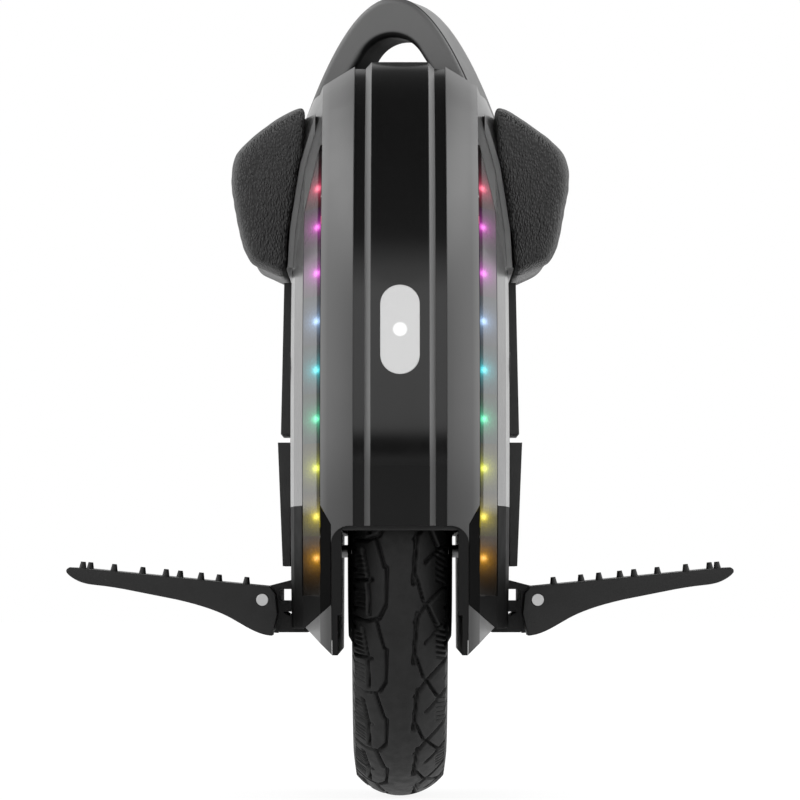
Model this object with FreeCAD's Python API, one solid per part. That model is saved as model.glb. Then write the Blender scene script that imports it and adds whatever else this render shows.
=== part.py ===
"""Electric unicycle as an assembly: wheel with hub motor, chassis, shells, lights, pads, handle and pedals.

Millimetres. +Z is up, the front (white lamp) faces -Y, and +X is the rider's left.
The origin is on the ground, straight below the axle.
"""
import FreeCAD, Part
import math
import os

V = FreeCAD.Vector

# Overall sizes
TYRE_R = 178.0
TYRE_W = 68.0
BODY_OVER = 184.0
BODY_AHEAD = 30.0
BULGE_RISE = 72.0
CROWN_R = 150.0
CLEAR = 0.3
RUN_CLEAR = 0.05
OVERRUN = 60.0

# Shell section: half widths, and how far each lies inside the side outline
FACET_X = 32.2
WINDOW_X = 54.9
COVER_X = 67.4
FLANK_X = 74.0
BODY_X = 77.0
FACET_INSET = 3.0
WINDOW_INSET = 15.5
COVER_INSET = 45.0
FLANK_INSET = 72.0
SIDE_INSET = 98.0
WALL = 3.0
GROOVE_DEPTH = 1.5
PANEL_HALF = 20.1
PANEL_BEVEL = 4.4

# Chassis and wheel opening
PLATE_X = 40.0
PLATE_T = 6.8
PLATE_INSET = 15.0
LEG_INSET = 9.0
WELL_DEPTH = 3.0
LIP_INSET = 30.0
MOUTH_RISE = 16.0
MOUTH_CORNER = 12.5
FENDER_GAP = 10.0
FENDER_T = 3.0

# Top deck and handle
DECK_HALF = 60.0
DECK_DROP = 36.0
DECK_T = 4.0
HANDLE_RISE = 76.0
HANDLE_TURN = 20.0
HANDLE_W = 40.0
HANDLE_INNER_R = 26.0
HANDLE_THICK = 29.0
HANDLE_SINK = 19.0
HANDLE_FOOT_U = 71.0
HANDLE_FOOT_T = 14.0
HANDLE_ROUND = 5.0

# Heights below and above the axle, and the pedal pivot
SHELL_DROP = 73.0
PIVOT_X = 97.4
PIVOT_DROP = 35.0
HANGER_RISE = 28.0

AXLE_H = TYRE_R
BODY_TOP = AXLE_H + TYRE_R + BODY_OVER
BODY_FRONT = TYRE_R + BODY_AHEAD
BULGE_H = AXLE_H + BULGE_RISE
SHELL_BASE = AXLE_H - SHELL_DROP
MOUTH_TOP = AXLE_H + MOUTH_RISE
PIVOT_H = AXLE_H - PIVOT_DROP
HANGER_TOP = AXLE_H + HANGER_RISE
DECK_TOP = BODY_TOP - DECK_DROP
HANDLE_TOP = DECK_TOP + HANDLE_RISE
HANDLE_FOOT_H = DECK_TOP - HANDLE_SINK
FENDER_TOP = AXLE_H + TYRE_R + FENDER_GAP + FENDER_T
AXLE = V(0, 0, AXLE_H)
GROOVE_INSET = FACET_INSET + GROOVE_DEPTH
WEB_INSET = GROOVE_INSET + WALL
PLATE_OUT = PLATE_X + PLATE_T
CROWN_H = BODY_TOP - CROWN_R
FLANK_R = ((CROWN_H - BULGE_H) ** 2 + BODY_FRONT ** 2 - CROWN_R ** 2) / (2 * (BODY_FRONT - CROWN_R))


def box(x0, x1, y0, y1, z0, z1):
    return Part.makeBox(x1 - x0, y1 - y0, z1 - z0, V(x0, y0, z0))


def rod(radius, start, end):
    along = end - start
    return Part.makeCylinder(radius, along.Length, start, along)


def prism(points, depth):
    """A closed polygon pushed along the vector depth."""
    return Part.Face(Part.makePolygon(points + points[:1])).extrude(depth)


def prism_xz(points, y0, y1):
    return prism([V(x, y0, z) for x, z in points], V(0, y1 - y0, 0))


def turned(points):
    """A solid of revolution about the axle from (x, radius) points."""
    face = Part.Face(Part.makePolygon([V(x, 0, AXLE_H + r) for x, r in points + points[:1]]))
    return face.revolve(AXLE, V(1, 0, 0), 360)


def ring(x0, x1, r0, r1):
    return rod(r1, AXLE + V(x0, 0, 0), AXLE + V(x1, 0, 0)).cut(
        rod(r0, AXLE + V(x0 - OVERRUN, 0, 0), AXLE + V(x1 + OVERRUN, 0, 0)))


def mirror(shape):
    return shape.mirror(V(0, 0, 0), V(1, 0, 0))


def to_rear(shape):
    """Half a turn about the upright axis."""
    made = shape.copy()
    made.rotate(V(0, 0, 0), V(0, 0, 1), 180)
    return made


def joined(shapes):
    return shapes[0].fuse(shapes[1:]).removeSplitter() if len(shapes) > 1 else shapes[0]


def save(name, shape):
    solids = shape.Solids
    bad = [s for s in solids if not s.isValid() or s.Volume <= 0]
    volume = sum(s.Volume for s in solids)
    print(f"{name:24s} solids {len(solids):3d}  volume {volume:12.1f} mm3  bad {len(bad)}")
    made = solids[0] if len(solids) == 1 else Part.makeCompound(solids)
    made.exportStep(f"parts/{name}.step")


def save_pair(name, left):
    save(f"left_{name}", left)
    save(f"right_{name}", mirror(left))


def outline(inset, x, base):
    """The side outline, drawn in by inset: a crown arc between two flank arcs, closed by a flat base."""
    crown_z = BODY_TOP - CROWN_R
    flank_y = FLANK_R - BODY_FRONT
    crown, flank = CROWN_R - inset, FLANK_R - inset
    reach = math.hypot(flank_y, crown_z - BULGE_H)
    uy, uz = flank_y / reach, (crown_z - BULGE_H) / reach
    join = (crown * uy, crown_z + crown * uz)
    foot = math.sqrt(flank ** 2 - (base - BULGE_H) ** 2) - flank_y
    half = (math.atan2(join[1] - BULGE_H, join[0] + flank_y) + math.atan2(base - BULGE_H, foot + flank_y)) / 2
    mid = (flank * math.cos(half) - flank_y, BULGE_H + flank * math.sin(half))
    at = lambda y, z: V(x, y, z)
    edges = [
        Part.Arc(at(-foot, base), at(-mid[0], mid[1]), at(-join[0], join[1])).toShape(),
        Part.Arc(at(-join[0], join[1]), at(0, crown_z + crown), at(join[0], join[1])).toShape(),
        Part.Arc(at(join[0], join[1]), at(mid[0], mid[1]), at(foot, base)).toShape(),
        Part.LineSegment(at(foot, base), at(-foot, base)).toShape(),
    ]
    return Part.Wire(edges)


def slab(inset, x0, x1, base=SHELL_BASE):
    """The side outline as a flat slab between two X places."""
    return Part.Face(outline(inset, x0, base)).extrude(V(x1 - x0, 0, 0))


def loft(sections, base=SHELL_BASE):
    return Part.makeLoft([outline(inset, x, base) for x, inset in sections], True, True)


# Body envelope, on the left side
SECTIONS = [(FACET_X, FACET_INSET), (WINDOW_X, WINDOW_INSET), (COVER_X, COVER_INSET),
            (FLANK_X, FLANK_INSET), (BODY_X, SIDE_INSET)]
WALL_SHARES = [(0, 1.15), (0.4, 1.0), (0.8, 0.6), (1.0, 0.2), (1.0, 0)]
INNER_BASE = SHELL_BASE - WALL


def grown(by, base=SHELL_BASE):
    """The left half of the body, its skin moved outwards by a thickness, or inwards where that is negative."""
    return loft([(x + sx * by, d - sd * by) for (x, d), (sx, sd) in zip(SECTIONS, WALL_SHARES)], base)


OUTER = loft(SECTIONS)
INNER = grown(-WALL, INNER_BASE)
SKIN = OUTER.cut(INNER)


def front_half(shape, gap=CLEAR / 2):
    return shape.common(box(-OVERRUN - BODY_X, BODY_X + OVERRUN, -BODY_FRONT - OVERRUN, -gap,
                            -OVERRUN, BODY_TOP + OVERRUN))


def between_x(shape, x0, x1):
    return shape.common(box(x0, x1, -BODY_FRONT - OVERRUN, BODY_FRONT + OVERRUN, -OVERRUN, BODY_TOP + OVERRUN))


# Wheel mouth: a round-cornered slot through the shells, as wide as the chassis legs
def mouth():
    half = PLATE_OUT + CLEAR
    body = box(-half, half, -BODY_FRONT - OVERRUN, BODY_FRONT + OVERRUN, -OVERRUN, MOUTH_TOP)
    top_edges = [e for e in body.Edges if all(abs(v.Z - MOUTH_TOP) < CLEAR for v in e.Vertexes)
                 and abs(e.tangentAt(e.FirstParameter).y) > 1 - CLEAR]
    return body.makeFillet(MOUTH_CORNER, top_edges)


MOUTH = mouth()
DECK_BAY = box(-BODY_X, BODY_X, -DECK_HALF, DECK_HALF, DECK_TOP, BODY_TOP + OVERRUN)


# Handle: an arch that crosses the top deck on the skew
def arch(grow):
    """The arch's solid, grown all round by grow for the recess that takes it."""
    inner_r = HANDLE_INNER_R - grow
    inner_c = HANDLE_TOP - HANDLE_THICK - HANDLE_INNER_R
    foot_z = HANDLE_FOOT_H - grow
    half = HANDLE_W / 2 + grow

    def side(foot_u, centre_z, radius):
        """Where a line from the foot touches the crown circle."""
        du, dz = -foot_u, centre_z - foot_z
        reach = math.hypot(du, dz)
        turn = math.atan2(dz, du) - math.asin(radius / reach)
        length = math.sqrt(reach ** 2 - radius ** 2)
        return foot_u + length * math.cos(turn), foot_z + length * math.sin(turn)

    outer_foot = HANDLE_FOOT_U + grow
    inner_foot = HANDLE_FOOT_U - HANDLE_FOOT_T - grow
    bow = Part.BezierCurve()
    iu, iz = side(inner_foot, inner_c, inner_r)
    at = lambda u, z: V(u, -half, z)
    bow.setPoles([at(outer_foot, foot_z), at(0, 2 * (HANDLE_TOP + grow) - foot_z), at(-outer_foot, foot_z)])
    wire = Part.Wire([
        bow.toShape(),
        Part.LineSegment(at(-outer_foot, foot_z), at(-inner_foot, foot_z)).toShape(),
        Part.LineSegment(at(-inner_foot, foot_z), at(-iu, iz)).toShape(),
        Part.Arc(at(-iu, iz), at(0, inner_c + inner_r), at(iu, iz)).toShape(),
        Part.LineSegment(at(iu, iz), at(inner_foot, foot_z)).toShape(),
        Part.LineSegment(at(inner_foot, foot_z), at(outer_foot, foot_z)).toShape(),
    ])
    solid = Part.Face(wire).extrude(V(0, 2 * half, 0))
    if not grow:
        rims = [e for e in solid.Edges if abs(e.BoundBox.YLength) < CLEAR
                and e.BoundBox.ZMax > HANDLE_FOOT_H + HANDLE_THICK]
        solid = solid.makeFillet(HANDLE_ROUND, rims)
    solid.rotate(V(0, 0, 0), V(0, 0, 1), -HANDLE_TURN)
    return solid


HANDLE_RECESS = arch(CLEAR)

# Lamps in the front and rear panels
LAMP_RISE = 78.0
LAMP_HALF_W = 13.6
LAMP_HALF_H = 31.0
LAMP_RIM = 2.0
LAMP_DEPTH = 30.0
EMITTER_R = 4.4
EMITTER_T = 5.0

LAMP_H = BULGE_H + LAMP_RISE


def pill(grow, y0, y1):
    """A round-ended upright bar along Y, at the lamp's place."""
    half_w, straight = LAMP_HALF_W + grow, LAMP_HALF_H - LAMP_HALF_W
    bar = box(-half_w, half_w, y0, y1, LAMP_H - straight, LAMP_H + straight)
    ends = [rod(half_w, V(0, y0, LAMP_H + s * straight), V(0, y1, LAMP_H + s * straight)) for s in (-1, 1)]
    return joined([bar] + ends)


LAMP_FRONT = -BODY_FRONT - OVERRUN
LAMP_BACK = -BODY_FRONT + WEB_INSET + LAMP_DEPTH
PANEL_BAND = loft([(-PANEL_HALF - PANEL_BEVEL, GROOVE_INSET), (-PANEL_HALF, 0),
                   (PANEL_HALF, 0), (PANEL_HALF + PANEL_BEVEL, GROOVE_INSET)]).cut(
    slab(GROOVE_INSET, -FACET_X, FACET_X, INNER_BASE))


def make_panel():
    cut = PANEL_BAND.cut(MOUTH).cut(DECK_BAY)
    return front_half(cut, DECK_HALF / 2).cut(pill(0, LAMP_FRONT, 0))


def make_lens():
    return front_half(PANEL_BAND).common(pill(-CLEAR / 2, LAMP_FRONT, 0))


def make_lamp_housing():
    """A round-ended cup behind the lens, open at the front."""
    inside = slab(WEB_INSET, -FACET_X, FACET_X)
    cup = pill(LAMP_RIM, LAMP_FRONT, LAMP_BACK).common(inside)
    return cup.cut(pill(0, LAMP_FRONT, LAMP_BACK - LAMP_RIM))


def make_emitter():
    seat = LAMP_BACK - LAMP_RIM
    return rod(EMITTER_R, V(0, seat - EMITTER_T, LAMP_H), V(0, seat, LAMP_H))


# Light windows along both edges of each shell, and the lower side boots
WINDOW_LIFT = 41.0
WINDOW_TOP_DROP = 78.0
WINDOW_TIP_DROP = 48.0
WINDOW_TIP_W = 1.0
WINDOW_T = 1.6
BOOT_H = 85.0
BOOT_EDGE_X = 47.5
BOOT_STEP = 13.0
BOOT_LIFT = 18.0
BOOT_SLANT = 17.0
ARM_Y = 54.7
DOOR_RISE = 23.0
DOOR_DROP = 25.0

WINDOW_BASE = SHELL_BASE + WINDOW_LIFT
WINDOW_TIP = BODY_TOP - WINDOW_TOP_DROP
BOOT_BASE = SHELL_BASE + BOOT_LIFT
BOOT_SHOULDER = BOOT_BASE + BOOT_SLANT
BOOT_TOP = BOOT_BASE + BOOT_H
ARM_TOP = PIVOT_H + DOOR_RISE
ARM_BASE = PIVOT_H - DOOR_DROP


def window_region(grow):
    low, tip = WINDOW_BASE - grow, WINDOW_TIP + grow
    x0, x1 = WINDOW_X - grow, COVER_X + grow
    return prism_xz([(x0, low), (x1, low), (x1, tip - WINDOW_TIP_DROP),
                     (x0 + WINDOW_TIP_W + 2 * grow, tip), (x0, tip)],
                    -BODY_FRONT - OVERRUN, BODY_FRONT + OVERRUN)


def boot_region(grow):
    far = BODY_X + OVERRUN
    points = [(WINDOW_X - grow, BOOT_TOP + grow), (BOOT_EDGE_X - grow, BOOT_TOP - BOOT_STEP),
              (BOOT_EDGE_X - grow, BOOT_SHOULDER), (COVER_X, BOOT_BASE - grow), (far, BOOT_BASE - grow),
              (far, BOOT_TOP + grow)]
    return prism_xz(points, -BODY_FRONT - OVERRUN, BODY_FRONT + OVERRUN)


def skirt_cut():
    """The slanted underside of the facets, rising outwards."""
    far = BODY_X + OVERRUN
    points = [(PLATE_OUT, SHELL_BASE), (far, SHELL_BASE + far - PLATE_OUT), (far, 0), (PLATE_OUT, 0)]
    return prism_xz(points, -BODY_FRONT - OVERRUN, BODY_FRONT + OVERRUN)


WINDOW_ZONE = window_region(0)
BOOT_ZONE = boot_region(0)
ARM_DOOR = box(0, BODY_X + OVERRUN, -ARM_Y - CLEAR, ARM_Y + CLEAR, ARM_BASE - CLEAR, ARM_TOP + CLEAR)


def make_shell():
    """The front shell: web under the panel, both facets and the shoulders above the light windows."""
    web = slab(GROOVE_INSET, -FACET_X, FACET_X).cut(slab(WEB_INSET, -BODY_X, BODY_X, INNER_BASE))
    facet = between_x(SKIN, FACET_X, COVER_X).cut(window_region(CLEAR)).cut(boot_region(CLEAR)).cut(skirt_cut())
    whole = joined([web, facet, mirror(facet)])
    whole = whole.cut(MOUTH).cut(DECK_BAY).cut(HANDLE_RECESS)
    whole = front_half(whole).cut(pill(CLEAR, LAMP_FRONT, 0))
    return max(whole.Solids, key=lambda s: s.Volume)


def make_window():
    pane = OUTER.cut(grown(-WINDOW_T, INNER_BASE))
    zone = between_x(pane, WINDOW_X, COVER_X - CLEAR).common(WINDOW_ZONE)
    return front_half(zone, DECK_HALF)


def make_boot():
    zone = SKIN.common(BOOT_ZONE).cut(window_region(CLEAR)).cut(ARM_DOOR)
    return max(zone.Solids, key=lambda s: s.Volume)


def make_side_cover():
    cover = between_x(SKIN, COVER_X, BODY_X).cut(boot_region(CLEAR)).cut(DECK_BAY).cut(HANDLE_RECESS)
    return max(cover.Solids, key=lambda s: s.Volume)


# Light strips: a curved board behind each window with a row of lamps
STRIP_X = 57.0
STRIP_T = 1.6
STRIP_INSET = 28.0
STRIP_W = 14.0
LAMP_PLACE_SHARES = (0, 0.11, 0.238, 0.369, 0.5, 0.631, 0.762, 0.89, 1)
STRIP_LAMP_R = 2.8
STRIP_LAMP_T = 1.8
STRIP_RISE = 26.0
STRIP_FALL = 32.0
STRIP_LOW = WINDOW_BASE + STRIP_RISE
STRIP_HIGH = WINDOW_TIP - STRIP_FALL


def flank_point(inset, z):
    """How far forward the outline lies at a height, drawn in by inset."""
    crown_z, flank_y = BODY_TOP - CROWN_R, FLANK_R - BODY_FRONT
    join_z = crown_z + (CROWN_R - inset) * (crown_z - BULGE_H) / math.hypot(flank_y, crown_z - BULGE_H)
    if z > join_z:
        return -math.sqrt((CROWN_R - inset) ** 2 - (z - crown_z) ** 2)
    return flank_y - math.sqrt((FLANK_R - inset) ** 2 - (z - BULGE_H) ** 2)


def make_light_board():
    band = slab(STRIP_INSET, STRIP_X, STRIP_X + STRIP_T).cut(
        slab(STRIP_INSET + STRIP_W, STRIP_X - WALL, STRIP_X + STRIP_T + WALL, INNER_BASE))
    reach = box(0, BODY_X, -BODY_FRONT, 0, STRIP_LOW - STRIP_W, STRIP_HIGH + STRIP_W)
    return band.common(reach)


def make_light_row():
    seat = STRIP_X + STRIP_T
    heights = [STRIP_LOW + share * (STRIP_HIGH - STRIP_LOW) for share in LAMP_PLACE_SHARES]
    places = [(flank_point(STRIP_INSET + STRIP_W / 2, z), z) for z in heights]
    end = seat + STRIP_LAMP_T
    return Part.makeCompound([rod(STRIP_LAMP_R, V(seat, y, z), V(end, y, z)) for y, z in places])


# Chassis plates, fender liner and the battery packs
AXLE_END_R = 6.0
AXLE_FLAT = 9.2
BATTERY_HALF_Y = 82.0
BATTERY_GAP = 10.0
BATTERY_H = 176.0
BATTERY_X = 69.5

BATTERY_BASE = HANGER_TOP + BATTERY_GAP
BATTERY_TOP = BATTERY_BASE + BATTERY_H


def make_plate():
    """One chassis plate with its axle hole; below the mouth it comes forward to show as the dark leg,
    and behind the leg's front lip its inner face steps back from the wheel."""
    upper = slab(PLATE_INSET, PLATE_X, PLATE_OUT).common(
        box(0, BODY_X, -BODY_FRONT, BODY_FRONT, SHELL_BASE, DECK_TOP - DECK_T))
    leg = slab(LEG_INSET, PLATE_X, PLATE_OUT).common(MOUTH)
    hole = rod(AXLE_END_R + RUN_CLEAR, AXLE, AXLE + V(BODY_X, 0, 0))
    well = box(0, PLATE_X + WELL_DEPTH, LIP_INSET - BODY_FRONT, BODY_FRONT, 0, MOUTH_TOP - FENDER_T)
    return joined([upper, leg]).cut(hole).cut(well)


def make_fender():
    r0 = TYRE_R + FENDER_GAP
    band = ring(-PLATE_X, PLATE_X, r0, r0 + FENDER_T)
    keep = box(-PLATE_X, PLATE_X, -BODY_FRONT, BODY_FRONT, MOUTH_TOP - FENDER_T, BODY_TOP)
    return band.common(keep)


def make_battery():
    return box(PLATE_OUT, BATTERY_X, -BATTERY_HALF_Y, BATTERY_HALF_Y, BATTERY_BASE, BATTERY_TOP)


# Controller on its heat sink, between the chassis plates above the fender
SINK_LIFT = 31.0
SINK_T = 6.0
SINK_HALF_Y = 60.0
FIN_H = 22.0
FIN_T = 2.0
FIN_COUNT = 9
BOARD_T = 1.6
BOARD_EDGE = 4.0
CAP_R = 9.0
CAP_H = 28.0
CAP_STEP = 24.0

SINK_BASE_H = FENDER_TOP + SINK_LIFT


def make_heat_sink():
    base = box(-PLATE_X, PLATE_X, -SINK_HALF_Y, SINK_HALF_Y, SINK_BASE_H, SINK_BASE_H + SINK_T)
    pitch = (2 * PLATE_X - FIN_T) / (FIN_COUNT - 1)
    fins = [box(-PLATE_X + i * pitch, -PLATE_X + i * pitch + FIN_T, -SINK_HALF_Y, SINK_HALF_Y,
                SINK_BASE_H - FIN_H, SINK_BASE_H) for i in range(FIN_COUNT)]
    clear_fender = rod(FENDER_TOP - AXLE_H + CLEAR, AXLE - V(BODY_X, 0, 0), AXLE + V(BODY_X, 0, 0))
    return joined([base] + fins).cut(clear_fender)


def make_controller_board():
    z0 = SINK_BASE_H + SINK_T
    return box(-PLATE_X + BOARD_EDGE, PLATE_X - BOARD_EDGE, -SINK_HALF_Y + BOARD_EDGE, SINK_HALF_Y - BOARD_EDGE,
               z0, z0 + BOARD_T)


def make_capacitors():
    z0 = SINK_BASE_H + SINK_T + BOARD_T
    places = [(i * CAP_STEP, j * CAP_STEP) for i in (-1, 0, 1) for j in (-1, 1)]
    return Part.makeCompound([rod(CAP_R, V(x, y, z0), V(x, y, z0 + CAP_H)) for x, y in places])

# Wheel: tyre and tube on a rim that is also the motor's rotor, turning on a fixed axle
RIM_HALF_W = 30.0
SIDEWALL_H = 50.3
FLANGE_H = 6.3
FLANGE_T = 4.0
RIM_T = 8.7
MAGNET_T = 5.0
MAGNET_HALF_W = 17.0
AIR_GAP = 0.8
STATOR_HALF_W = 15.0
TOOTH_DEPTH = 31.0
STATOR_BACK = 26.0
STATOR_SLOTS = 18
SLOT_W = 9.0
CARRIER_HALF_W = 6.0
WINDING_T = 6.0
JOURNAL_R = 7.5
JOURNAL_HALF = 36.5
AXLE_HALF = 64.0
BEARING_R = 16.0
BEARING_W = 9.0
COVER_IN = 26.0
COVER_T = 3.0
COVER_LIP = 1.7
HUB_HALF_W = 37.4
HUB_R = 62.0
HUB_SLOPE = 8.0
SEAL_R = 9.5
TREAD_EDGE_X = 31.5
TREAD_DROP = 15.0
WALL_DROP = 28.0
TYRE_T = 7.0
TUBE_WALL = 2.0
VALVE_R = 3.85
VALVE_IN = 3.5
VALVE_LEN = 6.3
COVER_SCREWS = 8
SCREW_R = 2.5
SCREW_HEAD_T = 1.5

BULGE_R = TYRE_R - WALL_DROP
BEAD_R = TYRE_R - SIDEWALL_H
FLANGE_R = BEAD_R + FLANGE_H
RIM_BORE = BEAD_R - RIM_T
COVER_RIM_R = BEAD_R - COVER_LIP
VALVE_PLACE_R = COVER_RIM_R - VALVE_IN
STATOR_CORE_R = RIM_BORE - TOOTH_DEPTH
STATOR_BORE = STATOR_CORE_R - STATOR_BACK


def revolve_wire(edges):
    return Part.Face(Part.Wire(edges)).revolve(AXLE, V(1, 0, 0), 360)


def make_tyre():
    at = lambda x, r: V(x, 0, AXLE_H + r)
    bead_x = RIM_HALF_W - FLANGE_T - CLEAR
    seat, lip = BEAD_R + CLEAR, FLANGE_R + CLEAR
    edge_r, half = TYRE_R - TREAD_DROP, TYRE_W / 2
    in_bead, in_half = bead_x - TYRE_T / 2, half - TYRE_T / 2
    in_edge, in_edge_r = TREAD_EDGE_X - TYRE_T / 2, edge_r - TYRE_T / 2
    line = lambda a, b: Part.LineSegment(a, b).toShape()
    bow = lambda a, b, c: Part.Arc(a, b, c).toShape()
    return revolve_wire([
        line(at(bead_x, seat), at(bead_x, lip)),
        bow(at(bead_x, lip), at(half, BULGE_R), at(TREAD_EDGE_X, edge_r)),
        bow(at(TREAD_EDGE_X, edge_r), at(0, TYRE_R), at(-TREAD_EDGE_X, edge_r)),
        bow(at(-TREAD_EDGE_X, edge_r), at(-half, BULGE_R), at(-bead_x, lip)),
        line(at(-bead_x, lip), at(-bead_x, seat)),
        line(at(-bead_x, seat), at(-in_bead, seat)),
        line(at(-in_bead, seat), at(-in_bead, lip)),
        bow(at(-in_bead, lip), at(-in_half, BULGE_R), at(-in_edge, in_edge_r)),
        bow(at(-in_edge, in_edge_r), at(0, TYRE_R - TYRE_T), at(in_edge, in_edge_r)),
        bow(at(in_edge, in_edge_r), at(in_half, BULGE_R), at(in_bead, lip)),
        line(at(in_bead, lip), at(in_bead, seat)),
        line(at(in_bead, seat), at(bead_x, seat)),
    ])


def make_inner_tube():
    inner, outer = BEAD_R + CLEAR, TYRE_R - TYRE_T - CLEAR
    middle, radius = (outer + inner) / 2, (outer - inner) / 2
    return Part.makeTorus(middle, radius, AXLE, V(1, 0, 0)).cut(
        Part.makeTorus(middle, radius - TUBE_WALL, AXLE, V(1, 0, 0)))


def make_rim():
    w, f = RIM_HALF_W, RIM_HALF_W - FLANGE_T
    return turned([(-w, RIM_BORE), (w, RIM_BORE), (w, FLANGE_R), (f, FLANGE_R), (f, BEAD_R), (-f, BEAD_R),
                   (-f, FLANGE_R), (-w, FLANGE_R)])


def make_motor_cover():
    """The left end bell: a dished disc with its bearing seat."""
    face = RIM_HALF_W + COVER_T
    seat_end = COVER_IN + BEARING_W + RUN_CLEAR
    return turned([(COVER_IN, BEARING_R), (COVER_IN, RIM_BORE - RUN_CLEAR), (RIM_HALF_W, RIM_BORE - RUN_CLEAR),
                   (RIM_HALF_W, COVER_RIM_R), (face, COVER_RIM_R), (face, HUB_R + HUB_SLOPE), (HUB_HALF_W, HUB_R),
                   (HUB_HALF_W, SEAL_R), (seat_end, SEAL_R), (seat_end, BEARING_R)])


def make_bearing():
    return ring(COVER_IN, COVER_IN + BEARING_W, JOURNAL_R + RUN_CLEAR, BEARING_R)


def make_axle():
    journal = rod(JOURNAL_R, AXLE - V(JOURNAL_HALF, 0, 0), AXLE + V(JOURNAL_HALF, 0, 0))
    shank = rod(AXLE_END_R, AXLE - V(AXLE_HALF, 0, 0), AXLE + V(AXLE_HALF, 0, 0))
    flats = box(-AXLE_HALF, AXLE_HALF, -AXLE_END_R, AXLE_END_R, AXLE_H - AXLE_FLAT / 2, AXLE_H + AXLE_FLAT / 2)
    return joined([journal, shank.common(flats)])


def make_stator():
    outer = RIM_BORE - MAGNET_T - AIR_GAP
    core = ring(-STATOR_HALF_W, STATOR_HALF_W, STATOR_BORE, outer)
    notch = box(-BODY_X, BODY_X, -SLOT_W / 2, SLOT_W / 2, AXLE_H + STATOR_CORE_R, AXLE_H + outer + WALL)
    notches = []
    for i in range(STATOR_SLOTS):
        one = notch.copy()
        one.rotate(AXLE, V(1, 0, 0), i * 360 / STATOR_SLOTS)
        notches.append(one)
    return core.cut(Part.makeCompound(notches))


def make_stator_carrier():
    return ring(-CARRIER_HALF_W, CARRIER_HALF_W, JOURNAL_R + RUN_CLEAR, STATOR_BORE)


def make_windings():
    outer = STATOR_CORE_R + WINDING_T
    w = STATOR_HALF_W
    return Part.makeCompound([ring(w, w + WINDING_T, STATOR_BORE + WINDING_T, outer),
                              ring(-w - WINDING_T, -w, STATOR_BORE + WINDING_T, outer)])


def make_magnets():
    return ring(-MAGNET_HALF_W, MAGNET_HALF_W, RIM_BORE - MAGNET_T, RIM_BORE)


def make_cover_screws():
    face, place = RIM_HALF_W + COVER_T, HUB_R + 2 * HUB_SLOPE
    heads = []
    for i in range(COVER_SCREWS):
        turn = 2 * math.pi * i / COVER_SCREWS
        spot = AXLE + V(0, place * math.sin(turn), place * math.cos(turn))
        for s in (-1, 1):
            heads.append(rod(SCREW_R, spot + V(s * face, 0, 0), spot + V(s * (face + SCREW_HEAD_T), 0, 0)))
    return Part.makeCompound(heads)


def make_valve():
    start = AXLE + V(RIM_HALF_W + COVER_T, 0, VALVE_PLACE_R)
    return rod(VALVE_R, start, start + V(VALVE_LEN, 0, 0))


# Pedal hangers, pins, pedals and studs
KNUCKLE_R = 9.0
PIN_R = 4.2
PEDAL_HALF_Y = 95.0
PIN_PROUD = 0.6
HANGER_T = 9.5
HANGER_HALF_Y = 50.0
HANGER_DEPTH = 82.0
ROOT_RISE = 21.0
ROOT_DROP = 15.0
KNEE_IN = 19.4
KNEE_RISE = 14.0
HEEL_IN = 11.4
HEEL_DROP = 23.5
SOLE_IN = 31.4
EYE_IN = 23.4
EYE_W = 12.0
EYE_DROP = 1.0
EYE_H = 8.5
NOTCH_IN = 22.4
NOTCH_W = 9.0
NOTCH_DROP = 8.7
NOTCH_H = 3.0
PEDAL_ROOT_OUT = 11.3
PEDAL_LEN = 127.3
PEDAL_ROOT_RISE = 10.9
PEDAL_SLOPE_RISE = 12.4
PLATE_START = 13.0
# Stud columns fan out slightly towards the back, as if from a point this far ahead
STUD_R = 2.7
STUD_TIP_R = 1.75
STUD_H = 4.8
STUD_ROWS = 5
STUD_ROW_STEP = 40.0
STUD_FAN = 3000.0
STUD_EDGE = 7.0
STUD_ODD_SHARES = [0.027, 0.288, 0.489, 0.786, 0.965]
STUD_EVEN_SHARES = [0.185, 0.408, 0.623, 0.922]
# The pedal's section: shares of its length out from the root, and of its depth down from the top
PEDAL_CURVE_SHARES = [(0.98, 0.0), (1.0, 0.066), (0.968, 0.187), (0.814, 0.287), (0.566, 0.345), (0.368, 0.418),
                      (0.219, 0.508), (0.09, 0.647), (-0.019, 0.82), (-0.088, 0.895), (-0.143, 0.91)]
PEDAL_HEEL_SHARES = [(-0.172, 0.5), (-0.16, 0.12), (-0.13, 0.0)]
PEDAL_DEEP = 38.0
PIVOT = V(PIVOT_X, 0, PIVOT_H)
PEDAL_ROOT_X = PIVOT_X + PEDAL_ROOT_OUT
PEDAL_TIP_X = PEDAL_ROOT_X + PEDAL_LEN
PEDAL_ROOT_TOP = PIVOT_H + PEDAL_ROOT_RISE
PEDAL_TIP_TOP = PEDAL_ROOT_TOP + PEDAL_SLOPE_RISE
HANGER_BASE = HANGER_TOP - HANGER_DEPTH


def pedal_top(x):
    return PEDAL_ROOT_TOP + (x - PEDAL_ROOT_X) * (PEDAL_TIP_TOP - PEDAL_ROOT_TOP) / (PEDAL_TIP_X - PEDAL_ROOT_X)


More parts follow.
